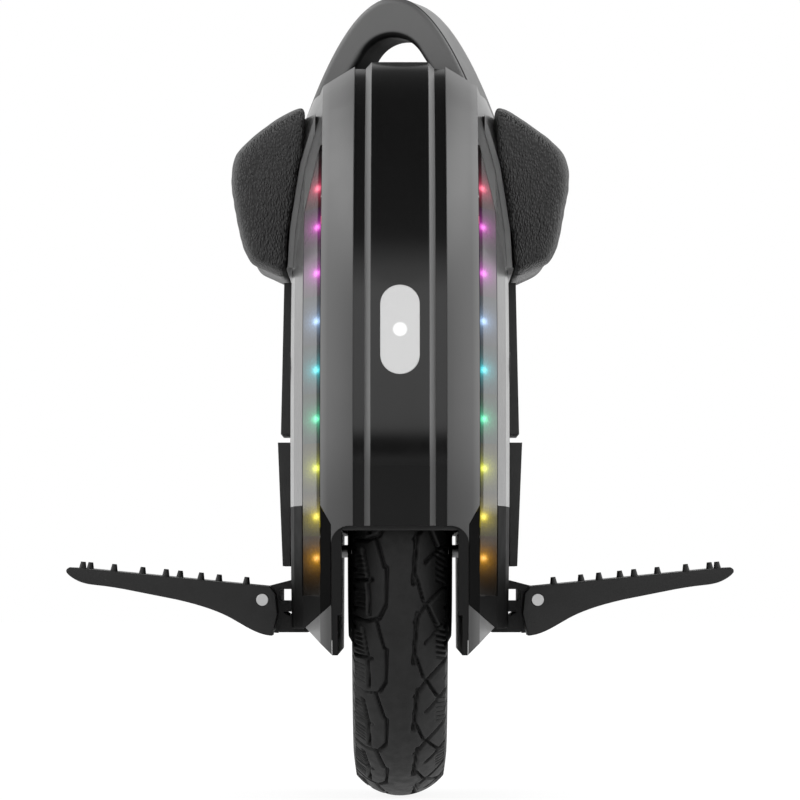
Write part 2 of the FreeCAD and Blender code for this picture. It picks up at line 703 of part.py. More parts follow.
def make_hanger():
    half = ARM_Y
    foot = box(PLATE_OUT, PLATE_OUT + HANGER_T, -HANGER_HALF_Y, HANGER_HALF_Y, HANGER_BASE, HANGER_TOP)
    sole = PIVOT_H - HEEL_DROP
    arm = prism_xz([(PLATE_OUT, PIVOT_H + ROOT_RISE), (PIVOT_X - KNEE_IN, PIVOT_H + KNEE_RISE),
                    (PIVOT_X, PIVOT_H + KNUCKLE_R), (PIVOT_X, PIVOT_H - KNUCKLE_R), (PIVOT_X - HEEL_IN, sole),
                    (PIVOT_X - SOLE_IN, sole), (PLATE_OUT, PIVOT_H - ROOT_DROP)], -half, half)
    knuckle = rod(KNUCKLE_R, PIVOT - V(0, half, 0), PIVOT + V(0, half, 0))
    eye_x, eye_z = PIVOT_X - EYE_IN, PIVOT_H - EYE_DROP
    eye = box(eye_x, eye_x + EYE_W, -OVERRUN, OVERRUN, eye_z, eye_z + EYE_H)
    notch_x, notch_z = PIVOT_X - NOTCH_IN, PIVOT_H - NOTCH_DROP
    notch = prism_xz([(notch_x, notch_z), (notch_x + NOTCH_W, notch_z),
                      (notch_x + NOTCH_W / 2, notch_z - NOTCH_H)], -OVERRUN, OVERRUN)
    bore = rod(PIN_R + RUN_CLEAR, PIVOT - V(0, PEDAL_HALF_Y, 0), PIVOT + V(0, PEDAL_HALF_Y, 0))
    axle_hole = rod(AXLE_END_R + RUN_CLEAR, AXLE, AXLE + V(BODY_X, 0, 0))
    return joined([foot, arm, knuckle]).cut(eye).cut(notch).cut(bore).cut(axle_hole)


def make_pedal_pin():
    reach = PEDAL_HALF_Y + PIN_PROUD
    return rod(PIN_R, PIVOT - V(0, reach, 0), PIVOT + V(0, reach, 0))


def pedal_point(along, down):
    x = PEDAL_ROOT_X + along * PEDAL_LEN
    return V(x, -PEDAL_HALF_Y, pedal_top(x) - down * PEDAL_DEEP)


def make_pedal():
    under = Part.BSplineCurve()
    under.interpolate([pedal_point(along, down) for along, down in PEDAL_CURVE_SHARES])
    corners = [pedal_point(along, down) for along, down in PEDAL_CURVE_SHARES[-1:] + PEDAL_HEEL_SHARES]
    heel = [Part.LineSegment(a, b).toShape() for a, b in zip(corners, corners[1:])]
    top = Part.LineSegment(corners[-1], pedal_point(*PEDAL_CURVE_SHARES[0])).toShape()
    body = Part.Face(Part.Wire([under.toShape()] + heel + [top])).extrude(V(0, 2 * PEDAL_HALF_Y, 0))
    gap = ARM_Y + CLEAR
    relief = box(0, PIVOT_X + PLATE_START, -gap, gap, 0, BODY_TOP)
    bore = rod(PIN_R + RUN_CLEAR, PIVOT - V(0, BODY_FRONT, 0), PIVOT + V(0, BODY_FRONT, 0))
    return body.cut(relief).cut(bore)


def make_studs():
    up = V(PEDAL_ROOT_TOP - PEDAL_TIP_TOP, 0, PEDAL_LEN)
    studs = []
    for row in range(STUD_ROWS):
        y = (row - (STUD_ROWS - 1) / 2) * STUD_ROW_STEP
        for share in (STUD_ODD_SHARES, STUD_EVEN_SHARES)[row % 2]:
            x = (PEDAL_ROOT_X + share * PEDAL_LEN) * (1 + y / STUD_FAN)
            if x < PEDAL_TIP_X - STUD_EDGE:
                studs.append(Part.makeCone(STUD_R, STUD_TIP_R, STUD_H, V(x, y, pedal_top(x)), up))
    return Part.makeCompound(studs)


# Hanger bolts and axle nut
NUT_R = 10.0
NUT_T = 7.0
BOLT_R = 5.0
BOLT_HEAD_T = 4.0
BOLT_Y = 34.0
BOLT_RISE = 12.0


def make_axle_nut():
    x0 = PLATE_OUT + HANGER_T
    turns = [i * math.pi / 3 for i in range(6)]
    corners = [V(x0, NUT_R * math.sin(a), AXLE_H + NUT_R * math.cos(a)) for a in turns]
    return prism(corners, V(NUT_T, 0, 0)).cut(rod(AXLE_END_R + RUN_CLEAR, AXLE, AXLE + V(BODY_X, 0, 0)))


def make_hanger_bolts():
    x0, z = PLATE_OUT + HANGER_T, AXLE_H + BOLT_RISE
    return Part.makeCompound([rod(BOLT_R, V(x0, s * BOLT_Y, z), V(x0 + BOLT_HEAD_T, s * BOLT_Y, z))
                              for s in (-1, 1)])


# Knee pads on their backings
PAD_HALF_Y = 95.0
PAD_DROP = 47.0
PAD_H = 120.5
PAD_STAND = 43.0
PAD_SINK = 17.0
PAD_CUT = 9.5
BACKING_T = 4.0
PAD_SHARES = [(0.2, 1.0), (0.51, 0.91), (0.78, 0.81), (0.945, 0.725), (1.0, 0.635), (1.0, 0.525), (0.95, 0.395),
              (0.895, 0.24), (0.835, 0.135), (0.765, 0.08), (0.58, 0.04), (0.4, 0.0), (0.0, 0.0), (0.0, 1.0)]
PAD_STATION_SHARES = [(-1.0, 0.9), (-0.95, 0.97), (-0.86, 1.0), (0.0, 0.97),
                      (0.86, 0.94), (0.95, 0.91), (1.0, 0.84)]
BACKING_EDGE = 6.0
PAD_TOP = BODY_TOP - PAD_DROP
PAD_BASE = PAD_TOP - PAD_H
PAD_OUT = BODY_X + PAD_STAND
PAD_IN = BODY_X - PAD_SINK


def make_pad():
    """A crowned cushion, drawn in towards both ends, cut square inside and hollowed to the backing."""
    middle = (PAD_TOP + PAD_BASE) / 2
    wires = []
    for along, full in PAD_STATION_SHARES:
        points = []
        for out, up in PAD_SHARES:
            z = PAD_BASE + up * (PAD_TOP - PAD_BASE)
            x = PAD_IN + out * full * (PAD_OUT - PAD_IN)
            points.append(V(x, along * PAD_HALF_Y, middle + (z - middle) * full))
        wires.append(Part.makePolygon(points + points[:1]))
    inside = box(0, BODY_X - PAD_CUT, -BODY_FRONT, BODY_FRONT, 0, BODY_TOP)
    return Part.makeLoft(wires, True, True).cut(grown(BACKING_T + CLEAR)).cut(inside)


def make_pad_backing():
    half = PAD_HALF_Y - BACKING_EDGE
    zone = box(PAD_IN, PAD_OUT, -half, half, PAD_BASE + BACKING_EDGE, PAD_TOP - BACKING_EDGE)
    return grown(BACKING_T).cut(OUTER).common(zone).cut(HANDLE_RECESS)


# Side guard strips, the bumpers that the folded pedals lie against, and plain plugs
STRIP_HALF_Y = 40.0
STRIP_GAP = 1.5
STRIP_LEN = 109.0
STRIP_LIFT = 2.0
STRIP_OUT = 8.8
STRIP_LEAN = 2.4
STRIP_THIN = 2.0
BUMPER_GAP = 6.0
BUMPER_LIFT = 24.0
BUMPER_T = 9.0
BUMPER_TAPER = 3.5
PLUG_R = 15.5
PLUG_T = 1.2
PLUG_Y = 85.0
PLUG_RISE = 53.0

STRIP_TOP = PAD_BASE - STRIP_GAP
STRIP_STEP = STRIP_TOP - STRIP_LEN
STRIP_BASE = BOOT_TOP + STRIP_LIFT
BUMPER_TOP = STRIP_STEP - BUMPER_GAP
BUMPER_BASE = PIVOT_H + BUMPER_LIFT
PLUG_H = BULGE_H + PLUG_RISE


def make_side_strip():
    outer = BODY_X + STRIP_OUT
    thick = prism_xz([(BODY_X, STRIP_STEP), (outer, STRIP_STEP),
                      (outer - STRIP_LEAN, STRIP_TOP), (BODY_X, STRIP_TOP)], -STRIP_HALF_Y, STRIP_HALF_Y)
    thin = box(BODY_X, BODY_X + STRIP_THIN, -STRIP_HALF_Y, STRIP_HALF_Y, STRIP_BASE, STRIP_STEP)
    return joined([thick, thin])


def make_bumper():
    x0 = BODY_X + STRIP_THIN
    return prism_xz([(x0, BUMPER_TOP), (x0 + BUMPER_T, BUMPER_TOP), (x0 + BUMPER_T - BUMPER_TAPER, BUMPER_BASE),
                     (x0, BUMPER_BASE)], -STRIP_HALF_Y, STRIP_HALF_Y)


def make_plug():
    return rod(PLUG_R, V(BODY_X, -PLUG_Y, PLUG_H), V(BODY_X + PLUG_T, -PLUG_Y, PLUG_H))


# Top deck, handle brackets, charge port and power button
DECK_X = 54.5
DECK_WALL_T = 2.0
BRACKET_X = 64.0
BRACKET_HALF_Y = 12.0
BRACKET_Y = 22.0
BRACKET_T = 14.0
HANDLE_BOLT_R = 3.5
HANDLE_BOLT_T = 4.0
PORT_X = 28.0
PORT_Y = 27.0
PORT_R = 9.0
PORT_BORE_R = 6.0
PORT_BORE_DEPTH = 12.0
PORT_DEPTH = 14.0
PORT_PROUD = 2.5
CAP_DISC_R = 9.5
CAP_DISC_T = 2.5
HINGE_R = 2.0
HINGE_PIN_R = 0.9
HINGE_HALF = 4.5
HINGE_OFF = 12.5
EAR_T = 2.0
EAR_RELIEF = 1.3
BUTTON_X = -28.0
BUTTON_Y = -27.0
BUTTON_R = 8.0
BUTTON_PROUD = 2.5
BUTTON_STEM_R = 5.0
BUTTON_DEPTH = 12.0
BUTTON_TRAVEL = 1.5
BEZEL_R = 10.0
BEZEL_PROUD = 1.2
PORT = V(PORT_X, PORT_Y, DECK_TOP)
BUTTON = V(BUTTON_X, BUTTON_Y, DECK_TOP)
UP = V(0, 0, 1)
HINGE = PORT + V(-HINGE_OFF, 0, PORT_PROUD + CAP_DISC_T / 2 + CLEAR)


def make_deck():
    """A tray between the shells: a floor, and end walls that close the shells' cut edges."""
    edge = DECK_HALF - CLEAR
    floor = box(-DECK_X, DECK_X, -edge, edge, DECK_TOP - DECK_T, DECK_TOP)
    section = joined([INNER, mirror(INNER), slab(WEB_INSET, -FACET_X, FACET_X)])
    wall = section.common(box(-DECK_X, DECK_X, -edge, DECK_WALL_T - edge, DECK_TOP - DECK_T, BODY_TOP))
    deck = joined([floor, wall, to_rear(wall)]).cut(HANDLE_RECESS)
    deck = deck.cut(rod(PORT_R + RUN_CLEAR, PORT - UP * OVERRUN, PORT + UP * OVERRUN))
    return deck.cut(rod(BEZEL_R + RUN_CLEAR, BUTTON - UP * OVERRUN, BUTTON + UP * OVERRUN))


def make_bracket():
    return box(PLATE_OUT, BRACKET_X, -BRACKET_Y - BRACKET_HALF_Y, BRACKET_HALF_Y - BRACKET_Y,
               HANDLE_FOOT_H - BRACKET_T, HANDLE_FOOT_H)


def make_handle_bolts():
    base = HANDLE_FOOT_H - BRACKET_T
    bolts = []
    for s in (-1, 1):
        place = V((PLATE_OUT + BRACKET_X) / 2, s * BRACKET_HALF_Y / 2 - BRACKET_Y, base)
        bolts.append(rod(HANDLE_BOLT_R, place - UP * HANDLE_BOLT_T, place))
    return Part.makeCompound(bolts + [to_rear(b) for b in bolts])


def make_charge_socket():
    body = rod(PORT_R, PORT - UP * PORT_DEPTH, PORT + UP * PORT_PROUD)
    ears = [box(HINGE.x - HINGE_R, PORT.x - PORT_BORE_R - WALL / 2, HINGE.y + y0, HINGE.y + y0 + EAR_T,
                DECK_TOP, HINGE.z + HINGE_R) for y0 in (HINGE_HALF, -HINGE_HALF - EAR_T)]
    ears = [ear.cut(rod(CAP_DISC_R + EAR_RELIEF, PORT + UP * PORT_PROUD, PORT + UP * OVERRUN)) for ear in ears]
    bore = rod(PORT_BORE_R, PORT + UP * (PORT_PROUD - PORT_BORE_DEPTH), PORT + UP * OVERRUN)
    body = joined([body] + ears).cut(bore)
    reach = V(0, HINGE_HALF + EAR_T, 0)
    return body.cut(rod(HINGE_PIN_R + RUN_CLEAR, HINGE - reach, HINGE + reach))


def make_charge_cap():
    seat = PORT_PROUD + CLEAR
    disc = rod(CAP_DISC_R, PORT + UP * seat, PORT + UP * (seat + CAP_DISC_T))
    reach = V(0, HINGE_HALF - CLEAR, 0)
    barrel = rod(HINGE_R, HINGE - reach, HINGE + reach)
    base = DECK_TOP + seat
    tongue = box(HINGE.x, PORT.x, HINGE.y - reach.y, HINGE.y + reach.y, base, base + CAP_DISC_T)
    bore = rod(HINGE_PIN_R + RUN_CLEAR, HINGE - reach * 2, HINGE + reach * 2)
    return joined([disc, barrel, tongue]).cut(bore)


def make_cap_pin():
    reach = V(0, HINGE_HALF + EAR_T, 0)
    return rod(HINGE_PIN_R, HINGE - reach, HINGE + reach)


def make_button():
    head = rod(BUTTON_R, BUTTON + UP * (BUTTON_TRAVEL - BUTTON_PROUD + CLEAR), BUTTON + UP * BUTTON_PROUD)
    stem = rod(BUTTON_STEM_R, BUTTON - UP * (BUTTON_DEPTH - BUTTON_TRAVEL - CLEAR), BUTTON)
    return joined([head, stem])


def make_bezel():
    body = rod(BEZEL_R, BUTTON - UP * (BUTTON_DEPTH + WALL), BUTTON + UP * BEZEL_PROUD)
    head = rod(BUTTON_R + RUN_CLEAR, BUTTON - UP * (BUTTON_PROUD - CLEAR), BUTTON + UP * OVERRUN)
    stem = rod(BUTTON_STEM_R + RUN_CLEAR, BUTTON - UP * BUTTON_DEPTH, BUTTON)
    return body.cut(head).cut(stem)


def pair(left):
    """A left piece and its mirror image, as one group."""
    return Part.makeCompound(left.Solids + mirror(left).Solids)


def turned_pair(shape):
    """A piece and its copy at half a turn about the upright axis, as one group."""
    return Part.makeCompound(shape.Solids + to_rear(shape).Solids)


def save_turned(first, second, shape):
    """Saves a piece and its copy at half a turn about the upright axis."""
    save(first, shape)
    save(second, to_rear(shape))


os.makedirs("parts", exist_ok=True)
save_turned("front_shell", "rear_shell", make_shell())
save_turned("front_panel", "rear_panel", make_panel())
save_turned("headlight_lens", "tail_light_lens", make_lens())
save("lamp_housings", turned_pair(make_lamp_housing()))
save_turned("headlight_emitter", "tail_light_emitter", make_emitter())
save_turned("front_light_windows", "rear_light_windows", pair(make_window()))
save("light_boards", turned_pair(pair(make_light_board())))
save_turned("front_light_lamps", "rear_light_lamps", pair(make_light_row()))
save_turned("left_side_cover", "right_side_cover", make_side_cover())
save_pair("boot", make_boot())
save("side_strips", pair(make_side_strip()))
save("pedal_bumpers", pair(make_bumper()))
save("side_plugs", pair(make_plug()))
plate = make_plate()
save("left_chassis_plate", plate.cut(HANDLE_RECESS))
save("right_chassis_plate", mirror(plate).cut(HANDLE_RECESS))
save("wheel_fender", make_fender())
save("battery_packs", pair(make_battery()))
save("heat_sink", make_heat_sink())
save("controller_board", make_controller_board())
save("capacitors", make_capacitors())
save_pair("knee_pad", make_pad())
save("pad_backings", turned_pair(make_pad_backing()))
save("top_deck", make_deck())
save("handle", arch(0))
save("handle_brackets", turned_pair(make_bracket()))
save("handle_bolts", make_handle_bolts())
save("charge_socket", make_charge_socket())
save("charge_cap", make_charge_cap())
save("charge_cap_pin", make_cap_pin())
save("power_button", make_button())
save("button_bezel", make_bezel())
save("pedal_hangers", pair(make_hanger()))
save("pedal_pins", pair(make_pedal_pin()))
save_pair("pedal", make_pedal())
save_pair("pedal_studs", make_studs())
save("axle_nuts", pair(make_axle_nut()))
save("hanger_bolts", pair(make_hanger_bolts()))
save("axle", make_axle())
save("stator_carrier", make_stator_carrier())
save("stator_core", make_stator())
save("stator_windings", make_windings())
save("rotor_magnets", make_magnets())
save("wheel_rim", make_rim())
save("motor_covers", pair(make_motor_cover()))
save("wheel_bearings", pair(make_bearing()))
save("cover_screws", make_cover_screws())
save("inner_tube", make_inner_tube())
save("tyre", make_tyre())
save("valve_stem", make_valve())
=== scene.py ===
"""Electric unicycle: finishes, tyre tread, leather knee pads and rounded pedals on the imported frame."""
import math

import bmesh
import bpy
import numpy as np
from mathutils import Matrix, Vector, noise


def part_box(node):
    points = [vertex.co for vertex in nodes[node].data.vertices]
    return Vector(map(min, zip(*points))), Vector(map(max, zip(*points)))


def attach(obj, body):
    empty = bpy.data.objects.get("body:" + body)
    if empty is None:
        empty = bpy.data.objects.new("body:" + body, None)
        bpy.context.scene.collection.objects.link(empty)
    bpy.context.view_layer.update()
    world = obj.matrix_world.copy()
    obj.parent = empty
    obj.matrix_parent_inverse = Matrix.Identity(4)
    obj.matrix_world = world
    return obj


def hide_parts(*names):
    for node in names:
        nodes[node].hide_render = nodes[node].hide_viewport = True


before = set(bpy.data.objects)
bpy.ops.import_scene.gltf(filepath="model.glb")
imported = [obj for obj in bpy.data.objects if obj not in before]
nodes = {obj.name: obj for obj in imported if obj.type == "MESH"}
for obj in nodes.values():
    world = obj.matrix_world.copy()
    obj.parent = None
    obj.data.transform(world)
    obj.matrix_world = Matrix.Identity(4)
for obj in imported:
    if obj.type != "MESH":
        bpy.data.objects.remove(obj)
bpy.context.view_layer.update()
MM = 0.001


# Materials
CLOUD_SCALE = 9.0
ROUGH_SCALE = 60.0
GRAIN_SCALE = 1400.0
GRAIN_HEIGHT = 0.3 * MM
EDGE_RADIUS = 0.6 * MM
SHINE = 0.5


def grey(value):
    return (value, value, value)


def opaque(value):
    return (value, value, value, 1.0)


class Graph:
    """The node tree of a new material, or of a given world, with short ways to add and join nodes."""

    def __init__(self, name, world=None):
        self.material = world or bpy.data.materials.new(name)
        self.material.use_nodes = True
        self.tree = self.material.node_tree
        self.tree.nodes.clear()
        self.out = self.node("ShaderNodeOutputWorld" if world else "ShaderNodeOutputMaterial")

    def node(self, kind, settings=None, **sockets):
        made = self.tree.nodes.new(kind)
        for key, value in (settings or {}).items():
            setattr(made, key, value)
        for key, value in sockets.items():
            self.put(made.inputs[key.replace("_", " ")], value)
        return made

    def put(self, socket, value):
        if isinstance(value, bpy.types.NodeSocket):
            self.tree.links.new(value, socket)
        else:
            socket.default_value = value

    def math(self, operation, a, b=0.0):
        made = self.node("ShaderNodeMath", {"operation": operation})
        for socket, value in zip(made.inputs, (a, b)):
            self.put(socket, value)
        return made.outputs[0]

    def square_sum(self, a, b):
        return self.math("ADD", self.math("MULTIPLY", a, a), self.math("MULTIPLY", b, b))

    def place(self):
        return self.node("ShaderNodeNewGeometry").outputs["Position"]

    def split(self, vector):
        return self.node("ShaderNodeSeparateXYZ", Vector=vector).outputs

    def object_place(self):
        return self.node("ShaderNodeTexCoord").outputs["Object"]

    def noise(self, scale, detail=4.0, roughness=0.55, vector=None):
        made = self.node("ShaderNodeTexNoise", Scale=scale, Detail=detail, Roughness=roughness)
        self.put(made.inputs["Vector"], vector or self.object_place())
        return made.outputs["Fac"]

    def ramp(self, factor, stops, interpolation="LINEAR"):
        made = self.node("ShaderNodeValToRGB", Fac=factor)
        made.color_ramp.interpolation = interpolation
        elements = made.color_ramp.elements
        while len(elements) < len(stops):
            elements.new(0.5)
        for element, (place, colour) in zip(elements, stops):
            element.position = place
            element.color = (*colour, 1.0)
        return made.outputs["Color"]

    def span(self, value, low, high, to_low, to_high):
        return self.node("ShaderNodeMapRange", Value=value, From_Min=low, From_Max=high, To_Min=to_low,
                         To_Max=to_high).outputs["Result"]

    def step(self, value, low, high):
        return self.node("ShaderNodeMapRange", {"interpolation_type": "SMOOTHSTEP"}, Value=value, From_Min=low,
                         From_Max=high).outputs["Result"]

    def mottled(self, scale, detail, low, high):
        """A number that drifts between two levels over the surface."""
        return self.span(self.noise(scale, detail), 0.3, 0.7, low, high)

    def clouded(self, low, high):
        """A grey that drifts between two levels over the surface."""
        return self.ramp(self.noise(CLOUD_SCALE, 3.0), [(0.3, grey(low)), (0.7, grey(high))])

    def varied(self, roughness):
        return self.math("MULTIPLY", roughness, self.mottled(ROUGH_SCALE, 5.0, 0.92, 1.08))

    def mix(self, share, first, second):
        made = self.node("ShaderNodeMix", {"data_type": "RGBA"})
        for place, value in ((0, share), (6, first), (7, second)):
            self.put(made.inputs[place], value)
        return made.outputs[2]

    def bump(self, height, strength, distance, normal=None):
        made = self.node("ShaderNodeBump", Height=height, Strength=strength, Distance=distance)
        if normal is not None:
            self.put(made.inputs["Normal"], normal)
        return made.outputs["Normal"]

    def soft_edges(self, radius=EDGE_RADIUS):
        return self.node("ShaderNodeBevel", {"samples": 4}, Radius=radius).outputs["Normal"]

    def surface(self, **sockets):
        return self.finish(self.node("ShaderNodeBsdfPrincipled", **sockets))

    def mix_surface(self, share, first, second):
        both = self.node("ShaderNodeMixShader", Fac=share)
        self.put(both.inputs[1], first.outputs[0])
        self.put(both.inputs[2], second.outputs[0])
        return self.finish(both)

    def finish(self, shader):
        self.put(self.out.inputs["Surface"], shader.outputs[0])
        return self.material


def moulded(name, colour, roughness, grain=0.0, grain_scale=GRAIN_SCALE, edge=EDGE_RADIUS, spread=0.12,
            **sockets):
    """Plastic or painted metal: slight cloudiness, varied roughness, fine grain and softened edges."""
    g = Graph(name)
    dark = tuple(c * (1 - spread) for c in colour)
    light = tuple(min(1.0, c * (1 + spread)) for c in colour)
    base = g.ramp(g.noise(CLOUD_SCALE, 3.0), [(0.3, dark), (0.7, light)])
    rough = g.mottled(ROUGH_SCALE, 5.0, roughness * 0.9, roughness * 1.1)
    normal = g.soft_edges(edge)
    if grain:
        normal = g.bump(g.noise(grain_scale, 2.0), grain, GRAIN_HEIGHT, normal)
    return g.surface(Base_Color=base, Roughness=rough, Normal=normal, **sockets)


SHOULDER_X = 58.3 * MM
SHOULDER_Z = 499 * MM
SHOULDER_FOOT = 468 * MM
SHOULDER_SLOPE = 0.3


def cover_material():
    """The side covers: satin grey, with a black shoulder above a slanting line at the top."""
    g = Graph("satin_cover")
    across, _, up = g.split(g.place())
    line = g.math("ADD", g.math("MULTIPLY", g.math("SUBTRACT", SHOULDER_Z, up), SHOULDER_SLOPE), SHOULDER_X)
    black = g.math("GREATER_THAN", g.math("ABSOLUTE", across), line)
    black = g.math("MULTIPLY", black, g.math("GREATER_THAN", up, SHOULDER_FOOT))
    base = g.mix(black, g.clouded(0.092, 0.108), opaque(0.004))
    rough = g.varied(g.span(black, 0.0, 1.0, 0.22, 0.5))
    shine = g.span(black, 0.0, 1.0, SHINE, 0.1)
    return g.surface(Base_Color=base, Roughness=rough, Normal=g.soft_edges(), Specular_IOR_Level=shine)


HANDLE_TURN = 20.0
HANDLE_SEAM = 16.4 * MM
HANDLE_SEAM_W = 1.1 * MM
HANDLE_EDGE = 0.8 * MM


def handle_material():
    """The handle: satin grey, with a dark seam along each side and painted shade, black, on the faces that turn
    down.
    """
    g = Graph("handle_grey")
    across, along, _ = g.split(g.place())
    facing = g.split(g.node("ShaderNodeNewGeometry").outputs["Normal"])
    turn = math.radians(HANDLE_TURN)
    over, ahead = g.math("MULTIPLY", across, math.sin(turn)), g.math("MULTIPLY", along, math.cos(turn))
    off_seam = g.math("SUBTRACT", g.math("ABSOLUTE", g.math("ADD", over, ahead)), HANDLE_SEAM)
    seam = g.step(g.math("ABSOLUTE", off_seam), HANDLE_SEAM_W, HANDLE_SEAM_W / 2)
    # Painted shade: the faces that turn down are painted black, together with the dark seams.
    black = g.math("MAXIMUM", g.step(facing[2], -0.1, -0.45), seam)
    base = g.mix(black, g.clouded(0.07, 0.085), opaque(0.004))
    rough = g.varied(g.span(black, 0.0, 1.0, 0.36, 0.6))
    normal = g.bump(g.noise(GRAIN_SCALE, 2.0), 0.08, GRAIN_HEIGHT, g.soft_edges(HANDLE_EDGE))
    shine = g.span(black, 0.0, 1.0, SHINE, 0.15)
    return g.surface(Base_Color=base, Roughness=rough, Normal=normal, Specular_IOR_Level=shine)


PAINTED_REFLECTION_FADE_LOW = 234 * MM
PAINTED_REFLECTION_FADE_HIGH = 262 * MM
PAINTED_DARK_REFLECTION_LEVEL = 0.13


def painted_foot_reflection(g, up):
    """Painted dark reflection: the specular level falls away towards the foot, where the photograph shows the
    front dark.
    """
    return g.span(up, PAINTED_REFLECTION_FADE_LOW, PAINTED_REFLECTION_FADE_HIGH, PAINTED_DARK_REFLECTION_LEVEL, SHINE)


BAND_EDGE = 32.0 * MM
WING_X = 67.0 * MM
CROWN_START = 28.0 * MM
CROWN_RADIUS = 100.0 * MM
FACET_PAINTED_LIGHT_GREYS = [(0.0, grey(0.022)), (0.5, grey(0.035)), (0.8, grey(0.13)), (1.0, grey(0.16))]


def shell_material():
    """The shells: satin grey facets whose shading bows slightly and whose grey is painted lighter outwards as
    painted light, and gloss black bands beside the panel whose reflection is painted darker at the foot.
    """
    g = Graph("satin_shell")
    across, _, up = g.split(g.place())
    aside = g.math("ABSOLUTE", across)
    facet = g.math("GREATER_THAN", aside, BAND_EDGE)
    out = g.math("SUBTRACT", aside, CROWN_START)
    bow = g.math("DIVIDE", g.math("MULTIPLY", out, out), -2 * CROWN_RADIUS)
    normal = g.bump(bow, 1.0, 1.0, g.soft_edges())
    normal = g.bump(g.noise(GRAIN_SCALE, 2.0), g.math("MULTIPLY", facet, 0.05), GRAIN_HEIGHT, normal)
    # Painted light: the satin grey is painted lighter towards the outer edge, standing in for side light falling
    # across the facet.
    satin = g.ramp(g.span(aside, BAND_EDGE, WING_X, 0.0, 1.0), FACET_PAINTED_LIGHT_GREYS)
    satin = g.mix(g.mottled(CLOUD_SCALE, 3.0, 0.0, 0.12), satin, opaque(0.0))
    base = g.mix(facet, opaque(0.005), satin)
    # The bands get a painted dark reflection at the foot; the facets keep their full shine.
    shine = g.math("MAXIMUM", g.math("MULTIPLY", facet, SHINE), painted_foot_reflection(g, up))
    rough = g.varied(g.span(facet, 0.0, 1.0, 0.13, 0.3))
    return g.surface(Base_Color=base, Roughness=rough, Normal=normal, Specular_IOR_Level=shine)


BEVEL_X = 20.2 * MM
BEVEL_BLUR = 0.4 * MM


def panel_material():
    """The centre panels: black lacquer with satin grey bevels, and a painted darker reflection at the foot."""
    g = Graph("panel_lacquer")
    across, _, up = g.split(g.place())
    bevel = g.step(g.math("ABSOLUTE", across), BEVEL_X, BEVEL_X + BEVEL_BLUR)
    base = g.mix(bevel, g.clouded(0.003, 0.005), opaque(0.07))
    rough = g.math("ADD", g.mottled(40.0, 4.0, 0.1, 0.14), g.math("MULTIPLY", bevel, 0.2))
    # Painted dark reflection: the specular level falls away towards the foot.
    return g.surface(Base_Color=base, Roughness=rough, Normal=g.soft_edges(),
                     Specular_IOR_Level=painted_foot_reflection(g, up))


# The lamps run from the lowest (share 0) to the highest (share 1) in each row.
LAMP_PLACE_SHARES = (0.0, 0.11, 0.238, 0.369, 0.5, 0.631, 0.762, 0.89, 1.0)
LAMP_COLOURS = [(1.0, 0.45, 0.01), (1.0, 0.8, 0.01), (0.85, 0.9, 0.01), (0.06, 0.9, 0.45), (0.03, 0.8, 0.9),
                (0.35, 0.6, 1.0), (0.9, 0.08, 0.85), (0.9, 0.08, 0.75), (1.0, 0.1, 0.22)]
LAMP_RADIUS = 2.8 * MM
GLOW_X = 57.4 * MM
GLOW_RADII = (2.3 * MM, 6.5 * MM, 14.0 * MM)
GLOW_LEVELS = (1.1, 0.25, 0.08)
GAP_SHADOW_X = 56.6 * MM
GAP_SHADOW_BLUR = 1.2 * MM
WINDOW_FOOT = 205 * MM
WINDOW_FOOT_BLUR = 6 * MM
WINDOW_EDGE = 0.5 * MM


def lamp_ends():
    low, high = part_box("front_light_lamps")
    return low.z + LAMP_RADIUS, high.z - LAMP_RADIUS


def lamp_colour(g, up):
    """Each lamp's own colour, changing half way to the next lamp."""
    low, high = lamp_ends()
    between = [0.0] + [(a + b) / 2 for a, b in zip(LAMP_PLACE_SHARES, LAMP_PLACE_SHARES[1:])]
    share = g.math("DIVIDE", g.math("SUBTRACT", up, low), high - low)
    return g.ramp(share, list(zip(between, LAMP_COLOURS)), "CONSTANT")


def strip_lamp_material():
    g = Graph("strip_lamps")
    colour = lamp_colour(g, g.split(g.place())[2])
    return g.surface(Base_Color=opaque(0.8), Emission_Color=colour, Emission_Strength=1.0, Roughness=0.3)


